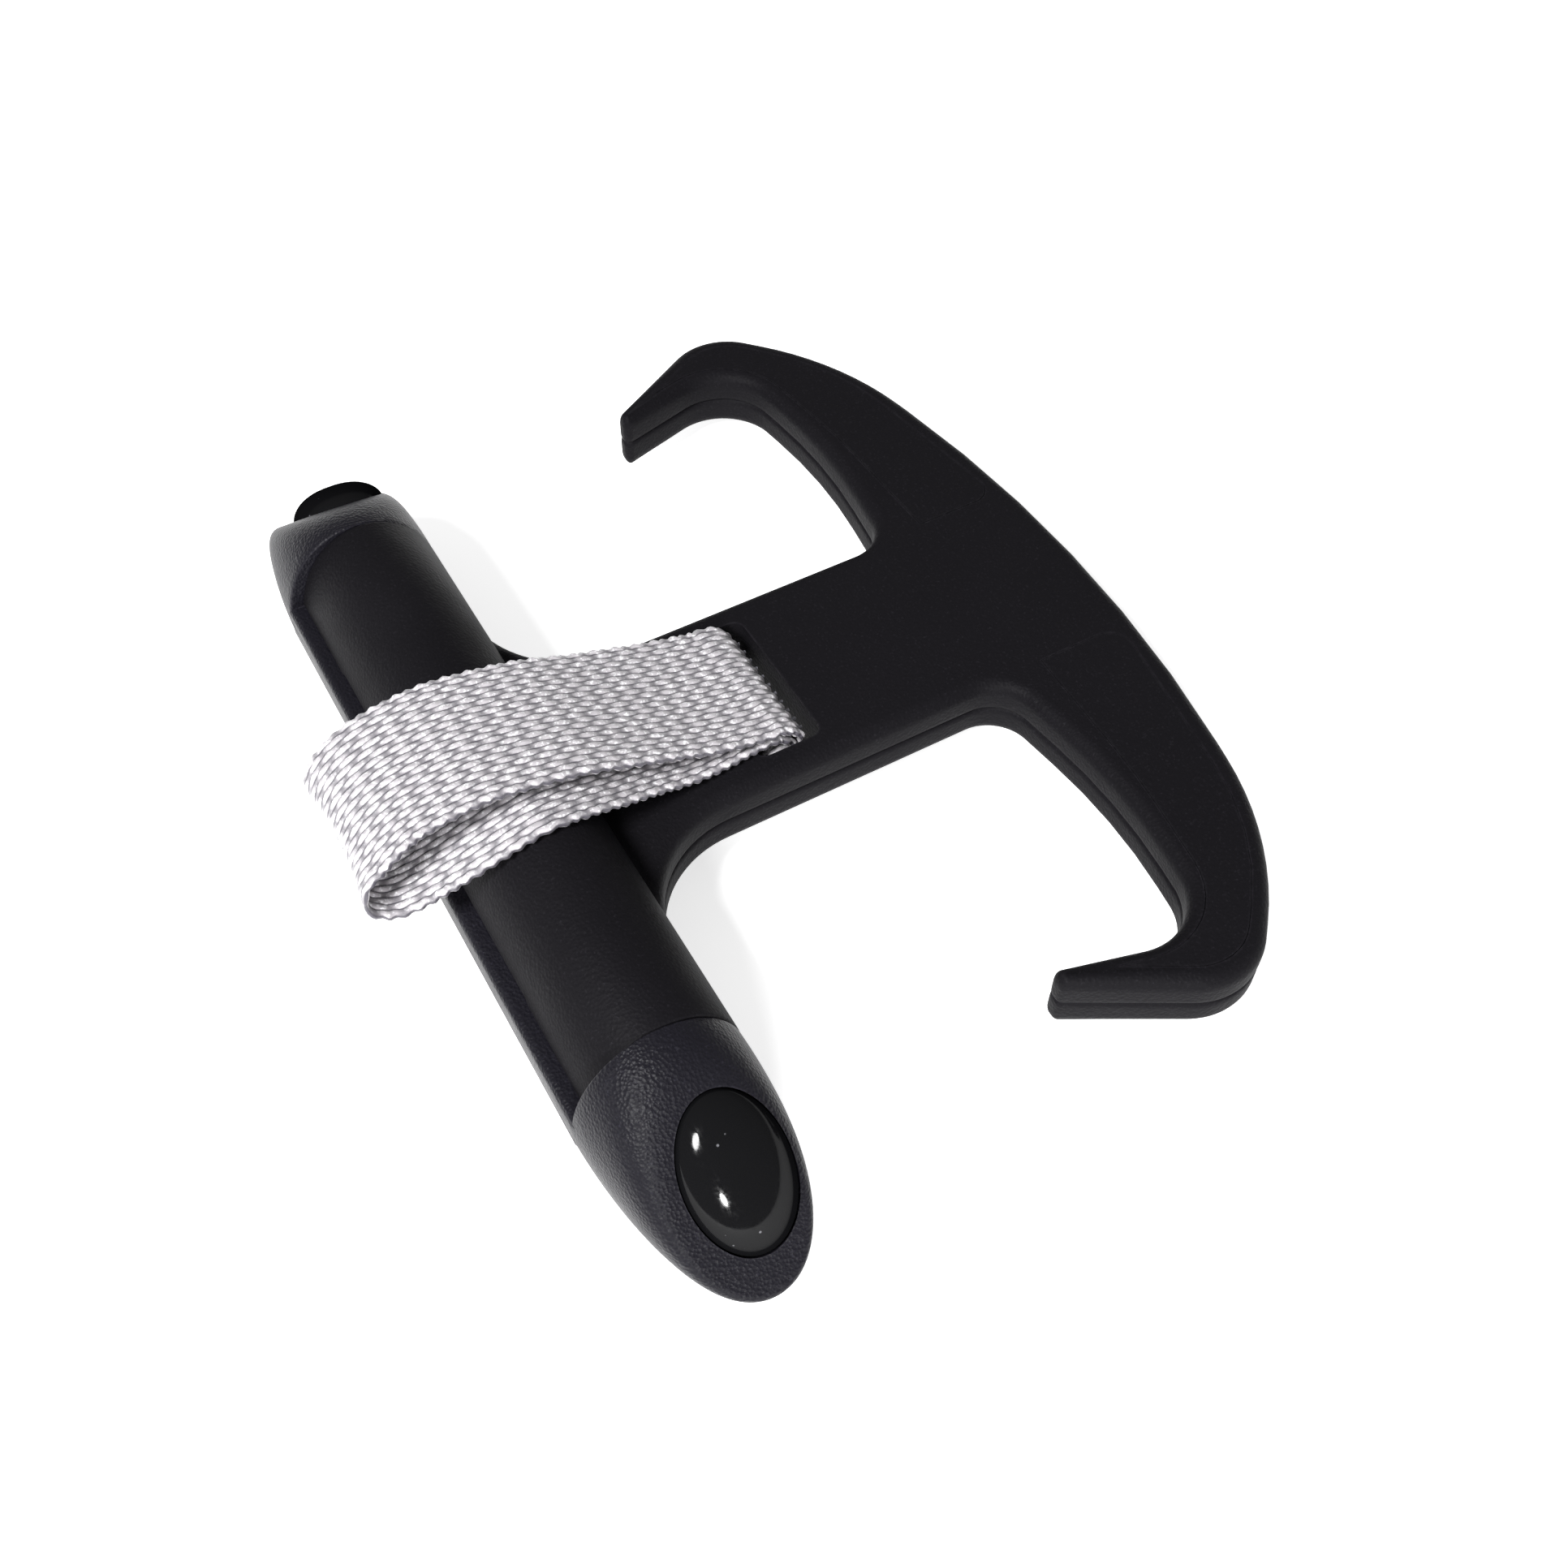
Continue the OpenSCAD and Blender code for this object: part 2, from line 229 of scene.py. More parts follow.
def plate_outline():
    """Corners of the stem and the anchor, as [x, y, corner radius]."""
    shoulder = (CROWN_X - 6.5, HALF_W - 13.2, 43)
    bill_back = (CROWN_X - 21.8, HALF_W + 2.7, 9.2)
    bill_point = (CROWN_X - 48.8, HALF_W - 12.95, 0)
    throat = (CROWN_X - 21.45, HALF_W - 5.85, 7.9)
    belly = (CROWN_X - 18.27, HALF_W - 28.3, 78)
    armpit = (CROWN_X - 21.2, HALF_STEM, 5.6)
    neck = (GRIP_A - 0.9, HALF_STEM, NECK_R)

    def at_bill_end(a, radius):
        share = (BILL_X - a[0]) / (bill_point[0] - a[0])
        return (BILL_X, a[1] + (bill_point[1] - a[1]) * share, radius)

    neck_end = HALF_STEM + NECK_R + 1
    half = [shoulder, bill_back, at_bill_end(bill_back, 1.1), at_bill_end(throat, 1.0), throat,
            belly, armpit, neck, (neck[0], neck_end, 0), (0, neck_end, 0)]
    other = [(x, -y, r) for x, y, r in reversed(half)]
    return [(CROWN_X + 3.7, 0, 180)] + half + other


def oval(a, b, count):
    """Points of an oval with half axes a and b."""
    return [(a * math.cos(math.tau * i / count), b * math.sin(math.tau * i / count)) for i in range(count)]


# ---------------------------------------------------------------- shells

def rounding_room(p):
    """Share of the full edge rounding that the tapering bills leave room for."""
    if abs(p.y) < HALF_STEM + 20:
        return 1.0
    return min(1.0, 0.5 + 0.075 * (p.x - BILL_X))


def half_plate(name, side):
    """One half of the plate: groove at the parting line, upright wall, rounded shoulder and flat face."""
    profile = [(PART_STEP + 0.1, 0.02), (0.2, 0.16), (0.04, 0.45), (0, 0.9), (0, HALF_T - EDGE_R)]
    profile += [(EDGE_R * (1 - math.cos(a)), HALF_T - EDGE_R * (1 - math.sin(a)))
                for a in (math.radians(d) for d in (11, 23, 34, 45, 56, 68, 79, 90))]
    outline = round_path(plate_outline())
    loops = [[(*(p - n * d * rounding_room(p)), side * z) for p, n in outline] for d, z in profile]
    return loft(name, loops)


def core_profile(y, d, side):
    """Half section of the grip's core at y: oval skin, then the lip and floor of the channel behind."""
    lip = RAIL_H / 2 + (0.8 if abs(y) < 27.6 else 0.4)          # the channel is wider in the middle
    a, b = GRIP_A - d, GRIP_B - d
    start = math.asin(min(1, 0.02 / b))
    end = math.pi - math.asin((lip + 0.25) / b)
    turns = [start + (end - start) * i / 40 for i in range(41)]
    arc = [(a * math.cos(t), b * math.sin(t)) for t in turns]
    lip_x = -a * math.cos(math.asin(lip / b))
    tail = [(lip_x + 0.15, lip + 0.02), (lip_x + 0.6, lip), (CHANNEL_X, lip), (CHANNEL_X, 0.02)]
    return [(x, y, side * z) for x, z in arc + tail]


def half_core(name, side):
    """Upper or lower half of the grip's core. Sections are (distance along the grip, inset of the skin)."""
    one_end = [(13.5, 0), (27, 0), (28.2, 0), (SEAM_Y - 0.35, 0), (SEAM_Y - 0.14, 0.1), (SEAM_Y - 0.04, 0.3)]
    sections = [(-y, d) for y, d in reversed(one_end)] + [(0, 0)] + one_end
    return loft(name, [core_profile(y, d, side) for y, d in sections])


def shell(name, side):
    """Half of the plate and the grip's core in one moulding, with the slot for the webbing."""
    body = half_plate(name, side)
    boolean(body, half_core(name + "_core", side), "UNION")
    slot = rounded_box("slot", (SLOT_X - SLOT_L, -SLOT_W / 2, -20), (SLOT_X, SLOT_W / 2, 20), 1.5)
    boolean(body, slot, "DIFFERENCE")
    return body


def grown_copy(node, margin):
    """Copy of a CAD node's mesh grown by margin, to cut the pocket that the node sits in."""
    bm = bmesh.new()
    bm.from_mesh(frame["nodes"][node].data)
    bmesh.ops.remove_doubles(bm, verts=bm.verts, dist=1e-6)
    bmesh.ops.recalc_face_normals(bm, faces=bm.faces)
    moved = [v.co + v.normal * v.calc_shell_factor() * margin * MM for v in bm.verts]
    for v, place in zip(bm.verts, moved):
        v.co = place / MM
    return mesh_object("grown_" + node, bm)


def screw_places(node):
    """Axis of each screw in a node, and the height of the inner face of its head: x, y, z."""
    bm = bmesh.new()
    bm.from_mesh(frame["nodes"][node].data)
    bmesh.ops.remove_doubles(bm, verts=bm.verts, dist=1e-6)
    left, places = set(bm.verts), []
    while left:
        island, queue = set(), [left.pop()]
        while queue:
            v = queue.pop()
            island.add(v)
            for edge in v.link_edges:
                other = edge.other_vert(v)
                if other in left:
                    left.remove(other)
                    queue.append(other)
        xs, ys = [v.co.x for v in island], [v.co.y for v in island]
        x, y = (min(xs) + max(xs)) / 2, (min(ys) + max(ys)) / 2
        rim = max(math.hypot(v.co.x - x, v.co.y - y) for v in island)
        head = [v.co.z for v in island if math.hypot(v.co.x - x, v.co.y - y) > rim * 0.99]
        places.append((x / MM, y / MM, max(head) / MM))
    bm.free()
    return sorted(places)


def counterbore(body, place):
    """Cuts the recess for a screw's head from below, with a small chamfer at the skin."""
    x, y, top = place
    radius = HEAD_R + 0.2
    skin = -HALF_T if x > GRIP_A else -math.sqrt(1 - (x / GRIP_A) ** 2) * GRIP_B
    rings = [(radius + 1.5, skin - 1.2), (radius + 0.3, skin), (radius, skin + 0.3), (radius, top)]
    hole = loft("recess", [[(x + a, y + b, z) for a, b in oval(r, r, 48)] for r, z in rings])
    return boolean(body, hole, "DIFFERENCE")


# ---------------------------------------------------------------- materials

def material(name):
    """A new material, its node tree and its shader."""
    mat = bpy.data.materials.new(name)
    mat.use_nodes = True
    return mat, mat.node_tree, mat.node_tree.nodes["Principled BSDF"]


def object_place(tree):
    """Position on the object, in metres."""
    return tree.nodes.new("ShaderNodeTexCoord").outputs["Object"]


def stretched(tree, vector, scale, turn=0.0):
    """The vector scaled by a factor on each axis and turned about Z by an angle in degrees."""
    node = tree.nodes.new("ShaderNodeMapping")
    node.inputs["Rotation"].default_value = (0, 0, math.radians(turn))
    node.inputs["Scale"].default_value = scale
    tree.links.new(vector, node.inputs["Vector"])
    return node.outputs["Vector"]


def scaled(colour, share):
    return tuple(c * share for c in colour)


def noise(tree, vector, scale, detail=4, roughness=0.55, distortion=0.0):
    node = tree.nodes.new("ShaderNodeTexNoise")
    node.inputs["Scale"].default_value = scale
    node.inputs["Detail"].default_value = detail
    node.inputs["Roughness"].default_value = roughness
    node.inputs["Distortion"].default_value = distortion
    tree.links.new(vector, node.inputs["Vector"])
    return node.outputs["Fac"]


def ramp(tree, fac, low, high, a, b):
    """Maps fac from low..high onto the colours or values a..b."""
    node = tree.nodes.new("ShaderNodeValToRGB")
    node.color_ramp.elements[0].position = low
    node.color_ramp.elements[1].position = high
    for element, value in zip(node.color_ramp.elements, (a, b)):
        element.color = (*value, 1) if isinstance(value, tuple) else (value, value, value, 1)
    tree.links.new(fac, node.inputs["Fac"])
    return node.outputs["Color"]


def bump(tree, height, strength, distance, normal=None):
    """Normal roughened by a height, on top of an earlier normal if one is given."""
    node = tree.nodes.new("ShaderNodeBump")
    node.inputs["Strength"].default_value = strength
    node.inputs["Distance"].default_value = distance
    tree.links.new(height, node.inputs["Height"])
    if normal is not None:
        tree.links.new(normal, node.inputs["Normal"])
    return node.outputs["Normal"]


def mix(tree, fac, a, b):
    """Blend of a and b, which are colours or sockets."""
    node = tree.nodes.new("ShaderNodeMix")
    node.data_type = "RGBA"
    tree.links.new(fac, node.inputs["Factor"])
    for value, socket in ((a, node.inputs["A"]), (b, node.inputs["B"])):
        if isinstance(value, tuple):
            socket.default_value = (*value, 1)
        else:
            tree.links.new(value, socket)
    return node.outputs["Result"]


def edge_share(tree, radius):
    """Grows from 0 on flat areas towards 1 at sharp edges, by how far a bevel would turn the normal."""
    bevelled = tree.nodes.new("ShaderNodeBevel")
    bevelled.samples = 4
    bevelled.inputs["Radius"].default_value = radius * MM
    facing = tree.nodes.new("ShaderNodeVectorMath")
    facing.operation = "DOT_PRODUCT"
    tree.links.new(bevelled.outputs["Normal"], facing.inputs[0])
    tree.links.new(tree.nodes.new("ShaderNodeNewGeometry").outputs["Normal"], facing.inputs[1])
    turned = tree.nodes.new("ShaderNodeMath")
    turned.operation = "SUBTRACT"
    turned.inputs[0].default_value = 1
    tree.links.new(facing.outputs["Value"], turned.inputs[1])
    return turned.outputs["Value"]


def moulded_plastic(name, colour, worn_and_highlight, rough, grain_size, grain_depth, specular):
    """Dark moulded plastic: leather-like grain, faint mottling, fine light specks of painted glint, edges
    lightened partly as wear and partly as a painted highlight, and a slightly uneven sheen.
    """
    mat, tree, shader = material(name)
    place = object_place(tree)
    grain = tree.nodes.new("ShaderNodeTexVoronoi")
    grain.feature = "F1"
    grain.inputs["Scale"].default_value = 1 / (grain_size * MM)
    tree.links.new(place, grain.inputs["Vector"])
    fine = noise(tree, place, 2.2 / (grain_size * MM), 3)
    broad = noise(tree, place, 60, 5, 0.6)
    scuffs = noise(tree, place, 420, 6, 0.7, 1.5)
    # Edges lightened towards the edge colour: partly wear, partly a painted highlight along the rounded edges,
    # broken up by scuffs.
    rubbed_and_highlight = ramp(tree, edge_share(tree, 0.5), 0.03, 0.25, 0.0, 1.0)
    rubbed_and_highlight = mix(tree, rubbed_and_highlight, (0, 0, 0), ramp(tree, scuffs, 0.42, 0.62, 0.15, 0.8))
    base = mix(tree, broad, colour, scaled(colour, 1.2))
    # Painted glints: fine light specks of the grain, mixed into the colour.
    glint_specks = ramp(tree, noise(tree, place, 3200, 2, 0.6), 0.60, 0.74, 0.0, 0.5)
    base = mix(tree, glint_specks, base, scaled(colour, 3.5))
    tree.links.new(mix(tree, rubbed_and_highlight, base, worn_and_highlight), shader.inputs["Base Color"])
    tree.links.new(ramp(tree, broad, 0.3, 0.7, rough - 0.06, rough + 0.07), shader.inputs["Roughness"])
    shader.inputs["Specular IOR Level"].default_value = specular
    normal = bump(tree, grain.outputs["Distance"], 1.0, grain_depth * MM)
    normal = bump(tree, fine, 0.6, grain_depth * 0.5 * MM, normal)
    tree.links.new(normal, shader.inputs["Normal"])
    return mat


def polished_plastic():
    """High-gloss black plastic with hairline scratches and specks of dust."""
    mat, tree, shader = material("polished_black")
    place = object_place(tree)
    hairlines = noise(tree, stretched(tree, place, (1, 0.08, 1)), 2600, 2, 0.5)
    specks = tree.nodes.new("ShaderNodeTexVoronoi")
    specks.inputs["Scale"].default_value = 420
    tree.links.new(place, specks.inputs["Vector"])
    dust = ramp(tree, specks.outputs["Distance"], 0.045, 0.075, 1.0, 0.0)
    tree.links.new(mix(tree, dust, (0.004, 0.004, 0.0045), (0.12, 0.12, 0.13)), shader.inputs["Base Color"])
    tree.links.new(ramp(tree, hairlines, 0.35, 0.75, 0.05, 0.16), shader.inputs["Roughness"])
    shader.inputs["IOR"].default_value = 1.25
    tilt = tree.nodes.new("ShaderNodeLayerWeight").outputs["Facing"]          # keeps the rim of the dome dark
    tree.links.new(ramp(tree, tilt, 0.2, 0.5, 0.5, 0.0), shader.inputs["Specular IOR Level"])
    tree.links.new(bump(tree, hairlines, 0.15, 0.002 * MM), shader.inputs["Normal"])
    return mat


def brushed_steel():
    """Stainless steel with fine brush lines."""
    mat, tree, shader = material("stainless_steel")
    place = object_place(tree)
    lines = noise(tree, stretched(tree, place, (1, 0.05, 1)), 5200, 3)
    tone = mix(tree, lines, (0.50, 0.51, 0.53), (0.72, 0.73, 0.75))
    tree.links.new(tone, shader.inputs["Base Color"])
    shader.inputs["Metallic"].default_value = 1
    tree.links.new(ramp(tree, lines, 0.3, 0.7, 0.24, 0.42), shader.inputs["Roughness"])
    tree.links.new(bump(tree, lines, 0.3, 0.01 * MM), shader.inputs["Normal"])
    return mat


YARN_GLINT = (0.95, 0.95, 0.97)


def woven_yarn(name, light, shade):
    """Silver-grey polypropylene yarn, with painted shade in the hollows of the weave and painted glints on the
    yarns. UV holds millimetres across and along the webbing.
    """
    mat, tree, shader = material(name)
    uv = tree.nodes.new("ShaderNodeUVMap")
    uv.uv_map = "webbing"
    fibres = noise(tree, stretched(tree, uv.outputs["UV"], (9, 0.7, 1), 14), 1.0, 3, 0.6)
    place = object_place(tree)
    tone = noise(tree, place, 260, 4, 0.6)
    depth = tree.nodes.new("ShaderNodeAttribute")
    depth.attribute_name = "yarn_height"
    # Painted shade: the hollows of the weave are darkened towards the shade colour.
    hollow_shade = ramp(tree, depth.outputs["Fac"], 0.02, 0.30, 0.0, 1.0)
    yarn = mix(tree, tone, light, scaled(light, 0.86))
    yarn = mix(tree, ramp(tree, fibres, 0.35, 0.7, 0.0, 0.5), yarn, scaled(light, 0.72))
    glint = noise(tree, place, 2400, 2, 0.5)
    yarn = mix(tree, ramp(tree, glint, 0.52, 0.68, 0.0, 0.8), yarn, YARN_GLINT)
    tree.links.new(mix(tree, hollow_shade, shade, yarn), shader.inputs["Base Color"])
    tree.links.new(ramp(tree, fibres, 0.3, 0.7, 0.26, 0.5), shader.inputs["Roughness"])
    shader.inputs["Sheen Weight"].default_value = 0.25
    shader.inputs["Sheen Roughness"].default_value = 0.4
    shader.inputs["Subsurface Weight"].default_value = 0.06
    shader.inputs["Subsurface Radius"].default_value = (0.0006, 0.0006, 0.0007)
    tree.links.new(bump(tree, fibres, 0.9, 0.09 * MM), shader.inputs["Normal"])
    return mat


DARK = (0.0058, 0.0054, 0.0066)             # colour of the shells and the pads
# Each edge colour lightens the rounded edges: partly wear, partly a painted highlight.
BODY = moulded_plastic("body_plastic", DARK, worn_and_highlight=(0.024, 0.022, 0.027), rough=0.55,
                       grain_size=0.45, grain_depth=0.050, specular=0.05)
PAD = moulded_plastic("pad_plastic", DARK, worn_and_highlight=(0.018, 0.017, 0.020), rough=0.57,
                      grain_size=0.45, grain_depth=0.045, specular=0.05)
BOW = moulded_plastic("bow_plastic", (0.0072, 0.0068, 0.0096), worn_and_highlight=(0.030, 0.028, 0.036), rough=0.40,
                      grain_size=0.40, grain_depth=0.085, specular=0.11)
LENS = polished_plastic()
STEEL = brushed_steel()
# The second colour of each yarn is the painted shade in the hollows of its weave.
YARN = woven_yarn("webbing_yarn", (0.53, 0.505, 0.53), (0.07, 0.065, 0.08))
THREAD = woven_yarn("stitching_thread", (0.72, 0.71, 0.74), (0.22, 0.22, 0.25))


def paint(obj, mat):
    """Gives an object one material."""
    obj.data.materials.clear()
    obj.data.materials.append(mat)
    return obj


# ---------------------------------------------------------------- grip bow and lenses

def lens_frame(side):
    """Matrix from the lens face (Z out of the face, Y down its slope) to the row frame, in millimetres."""
    height = (LENS_DIST - LENS_Y * math.sin(LENS_SLOPE)) / math.cos(LENS_SLOPE)
    place = Matrix.Translation((LENS_X, LENS_Y, height)) @ Matrix.Rotation(-LENS_SLOPE, 4, "X")
    return Matrix.Diagonal((1, side, 1, 1)) @ place


def place_mm(obj, matrix):
    """Moves a mesh by a matrix written in millimetres."""
    scale = Matrix.Diagonal((MM, MM, MM, 1))
    obj.data.transform(scale @ matrix @ scale.inverted())
    if matrix.determinant() < 0:
        obj.data.flip_normals()
    return obj


def blended_floor(height, blend=4.0):
    """Smooth minimum of a height and zero."""
    h = max(blend - abs(height), 0) / blend
    return min(height, 0) - h * h * blend / 4


def end_cap(name):
    """Left end cap: a blunt oval nose, flattened by a blended slanted face that carries the lens."""
    reach = bow_high[1] - SEAM_Y + 2.0      # the nose before the lens face flattens it
    half_x = (GRIP_A - RAIL_BACK) / 2       # flush with the core in front and with the rail behind
    lean = 0.95                             # how far the nose leans forward
    steps = 44
    # Distance from the seam, chamfer and taper: first the eased edge at the seam, then the nose.
    stations = [(0.02, 0.3, 0), (0.08, 0.1, 0), (0.25, 0, 0)]
    for k in range(1, steps + 1):
        q = math.radians(87) * k / steps
        stations.append(((reach - 0.4) * math.sin(q) + 0.4, 0, 1 - math.cos(q) ** 0.88))
    loops = []
    for y, chamfer, taper in stations:
        middle = (GRIP_A + RAIL_BACK) / 2 + lean * y / reach
        a, b = (half_x - chamfer) * (1 - taper), (GRIP_B + 0.05 - chamfer) * (1 - taper)
        loops.append([(middle - x, SEAM_Y + y, z) for x, z in oval(a, b, 120)])
    face = lens_frame(1)
    away = face.inverted()
    flattened = []
    for loop in loops:
        local = [away @ Vector(p) for p in loop]
        flattened.append([tuple(face @ Vector((p.x, p.y, blended_floor(p.z)))) for p in local])
    return loft(name, flattened)


def lens_disc(name, width, length, profile, count=64):
    """Rings of the lens's oval outline: profile lists (share of the outline, height)."""
    rings = [(oval(width / 2 * share, length / 2 * share, count), z) for share, z in profile]
    return loft(name, [[(x, y, z) for x, y in ring] for ring, z in rings])


def grip_bow():
    """The end caps with their lens seats and the rail, as one moulding."""
    bow = None
    for side in (1, -1):
        cap = end_cap("cap")
        hole = lens_disc("hole", LENS_W + 0.2, LENS_L + 0.2, [(1, -2.2), (1, 3)])
        boolean(cap, place_mm(hole, lens_frame(1)), "DIFFERENCE")
        if side < 0:
            place_mm(cap, Matrix.Diagonal((1, -1, 1, 1)))
        if bow is None:
            bow = cap
            bow.name = "grip_bow_moulding"
        else:
            boolean(bow, cap, "UNION")
    return boolean(bow, back_rail(), "UNION")


def back_rail():
    """The rail that joins the caps behind the core, with a rounded back."""
    half = RAIL_H / 2
    edge_r = 0.95
    front = CHANNEL_X - 0.4
    section = [(front, half - 0.1), (front, -half + 0.1)]
    section += [(RAIL_BACK + edge_r * (1 - math.sin(a)), -half + edge_r * (1 - math.cos(a)))
                for a in (math.radians(d) for d in (0, 22, 45, 67, 90))]
    section += [(x, -z) for x, z in reversed(section[2:])]
    stations = [(SEAM_Y + 4, 1.2), (SEAM_Y + 0.3, 0.02), (28, 0), (14, 0), (0, 0)]
    stations += [(-y, sink) for y, sink in reversed(stations[:-1])]
    return loft("rail", [[(max(x, RAIL_BACK + sink), y, z) for x, z in section] for y, sink in stations])


def lens(name, side):
    """Polished dome in the end cap, with a skirt that goes down into its seat."""
    rings = [(1, -2.0), (1, -0.5)]
    for a in range(0, 85, 6):
        q = math.radians(a)
        rings.append((math.cos(q) ** 0.85, -0.4 + (LENS_DOME + 0.4) * math.sin(q) ** 1.15))
    dome = lens_disc(name, LENS_W - 0.1, LENS_L - 0.1, rings)
    return place_mm(dome, lens_frame(side))


# ---------------------------------------------------------------- webbing

def smooth_line(points, step):
    """Points of a Catmull-Rom curve through 4-D points, at every step of its length in the XZ plane."""
    pts = [Vector(p) for p in points]
    pts = [pts[0] * 2 - pts[1]] + pts + [pts[-1] * 2 - pts[-2]]
    fine = []
    for p0, p1, p2, p3 in zip(pts, pts[1:], pts[2:], pts[3:]):
        for k in range(24):
            t = k / 24
            fine.append(0.5 * ((2 * p1) + (p2 - p0) * t + (2 * p0 - 5 * p1 + 4 * p2 - p3) * t ** 2
                               + (3 * p1 - p0 - 3 * p2 + p3) * t ** 3))
    fine.append(pts[-2])
    out, travelled, target = [fine[0]], 0.0, step
    for a, b in zip(fine, fine[1:]):
        length = (b.xz - a.xz).length
        while length and travelled + length >= target:
            out.append(a.lerp(b, (target - travelled) / length))
            target += step
        travelled += length
    return out


def weave_height(column, along):
    """Height, 0 to 1, of the yarn at this share of a column and distance along the webbing."""
    index = math.floor(column)
    across = math.sin(math.pi * (column - index))
    phase = along / RIB + STAGGER[index % len(STAGGER)]
    wave = 0.5 + 0.5 * math.cos(math.tau * (phase + 0.09 * math.sin(math.tau * phase)))
    return max(across, 0) ** 0.6 * (0.12 + 0.88 * wave ** 0.75)


def webbing(name, path, step=0.3, per_column=6):
    """A woven band along path, whose points are (x, y centre, z, roll in degrees)."""
    line = smooth_line(path, step)
    xs = [i / per_column for i in range(COLUMNS * per_column + 1)]
    bm = bmesh.new()
    height_layer = bm.verts.layers.float.new("yarn_height")
    uv_layer = bm.loops.layers.uv.new("webbing")
    grid = {1: [], -1: []}
    where = {}
    for k, point in enumerate(line):
        before, after = line[max(k - 1, 0)], line[min(k + 1, len(line) - 1)]
        ahead = Vector((after.x - before.x, after.y - before.y, after.z - before.z)).normalized()
        roll = math.radians(point.w)
        across = Vector((0, math.cos(roll), math.sin(roll)))
        across = (across - ahead * across.dot(ahead)).normalized()
        out = ahead.cross(across)
        along = k * step
        ragged = 0.16 * math.cos(math.tau * along / RIB * 2)
        for face in (1, -1):
            row = []
            for column in xs:
                height = weave_height(column, along + (0 if face > 0 else RIB / 2))
                share = column / COLUMNS * 2 - 1
                edge = max(0.0, abs(share) - 0.93) / 0.07
                thick = (WEB_T / 2 - RELIEF) * (1 - 0.45 * edge ** 2) + RELIEF * height
                centre = Vector(point.xyz) + across * (share * (WEB_W / 2 + ragged * abs(share) ** 8))
                v = bm.verts.new(centre + out * thick * face)
                v[height_layer] = height
                where[v] = (column / COLUMNS * WEB_W, along)
                row.append(v)
            grid[face].append(row)
    last = len(xs) - 1

    def quad(*corners):
        face = bm.faces.new(corners)
        for loop in face.loops:
            loop[uv_layer].uv = where[loop.vert]

    for k in range(len(line) - 1):
        for i in range(last):
            a, b = grid[1][k], grid[1][k + 1]
            quad(a[i], b[i], b[i + 1], a[i + 1])
            a, b = grid[-1][k], grid[-1][k + 1]
            quad(a[i], a[i + 1], b[i + 1], b[i])
        for i in (0, last):
            quad(grid[1][k][i], grid[-1][k][i], grid[-1][k + 1][i], grid[1][k + 1][i])
    for k in (0, len(line) - 1):
        for i in range(last):
            quad(grid[1][k][i], grid[1][k][i + 1], grid[-1][k][i + 1], grid[-1][k][i])
    return mesh_object(name, bm)


def loop_path():
    """Middle of the webbing from the neck, over the grip, round the far fold and back: x, y, z, roll."""
    t = WEB_T / 2
    right, left = FOLD_X + t, FOLD_X - t         # the two layers of the doubled neck in the slot
    over = GRIP_B + 0.15 + t                     # lying on the grip
    rest = HALF_T + 0.15 + t                     # lying on the stem
    upper = [(right, 0, 2.4, 0), (right - 0.2, 0, 3.7, 0), (right - 1.2, 0, 5.2, 0), (33, -0.1, 6.3, 0),
             (30.5, -0.3, 6.8, 0), (24, -0.5, 8.7, 0), (19, -0.6, 10.6, -1), (14, -0.8, 12.6, -2),
             (7, -1.0, 15.5, -2), (0, -1.0, 17.1, -2), (-5, -1.0, 17.7, -2), (-10, -1.1, 17.3, -2),
             (-14, -1.3, 16.4, -2), (-17.2, -1.8, 14.9, -1)]
    fold = [(-19.2, -2.3, 12.9, 0), (-19.7, -2.8, 11.0, 0), (-18.9, -3.3, 9.4, 0), (-17, -3.7, 8.8, 0)]
    lower = [(-14.6, -4.1, 9.2, 0), (-11, -4.5, 10.5, 0), (-6.3, -5, over - 1.3, 0), (-1, -5, over + 0.1, 0),
             (2.4, -4.5, over - 0.3, 0), (6.6, -3.7, 11.9, 0), (10.7, -2.8, 10.0, 0), (15, -2, 8.2, 0),
             (20, -1.3, 6.3, 0), (24, -0.8, rest + 0.25, 0), (28, -0.4, rest + 0.1, 0), (30.5, -0.2, rest, 0),
             (32.5, 0, 4.9, 0), (34, 0, 4.1, 0), (left - 0.2, 0, 3.2, 0), (left, 0, 2.4, 0)]
    return upper + fold + lower


def eye_path():
    """Middle of the webbing round the pin, from one side of the doubled neck to the other."""
    t = WEB_T / 2
    r = PIN_R + 0.1 + t
    turns = [math.radians(a) for a in (*range(0, -226, -15), -240, -262, -285)]
    ring = [(PIN_X + r * math.cos(a), 0, r * math.sin(a), 0) for a in turns]
    return [(FOLD_X + t, 0, 2.2, 0)] + ring + [(FOLD_X - t, 0, 2.3, 0)]


# ---------------------------------------------------------------- the object

def stand_for(obj, node, mat):
    """Paints a piece and hides the CAD node that it stands for."""
    paint(obj, mat)
    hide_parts(node)


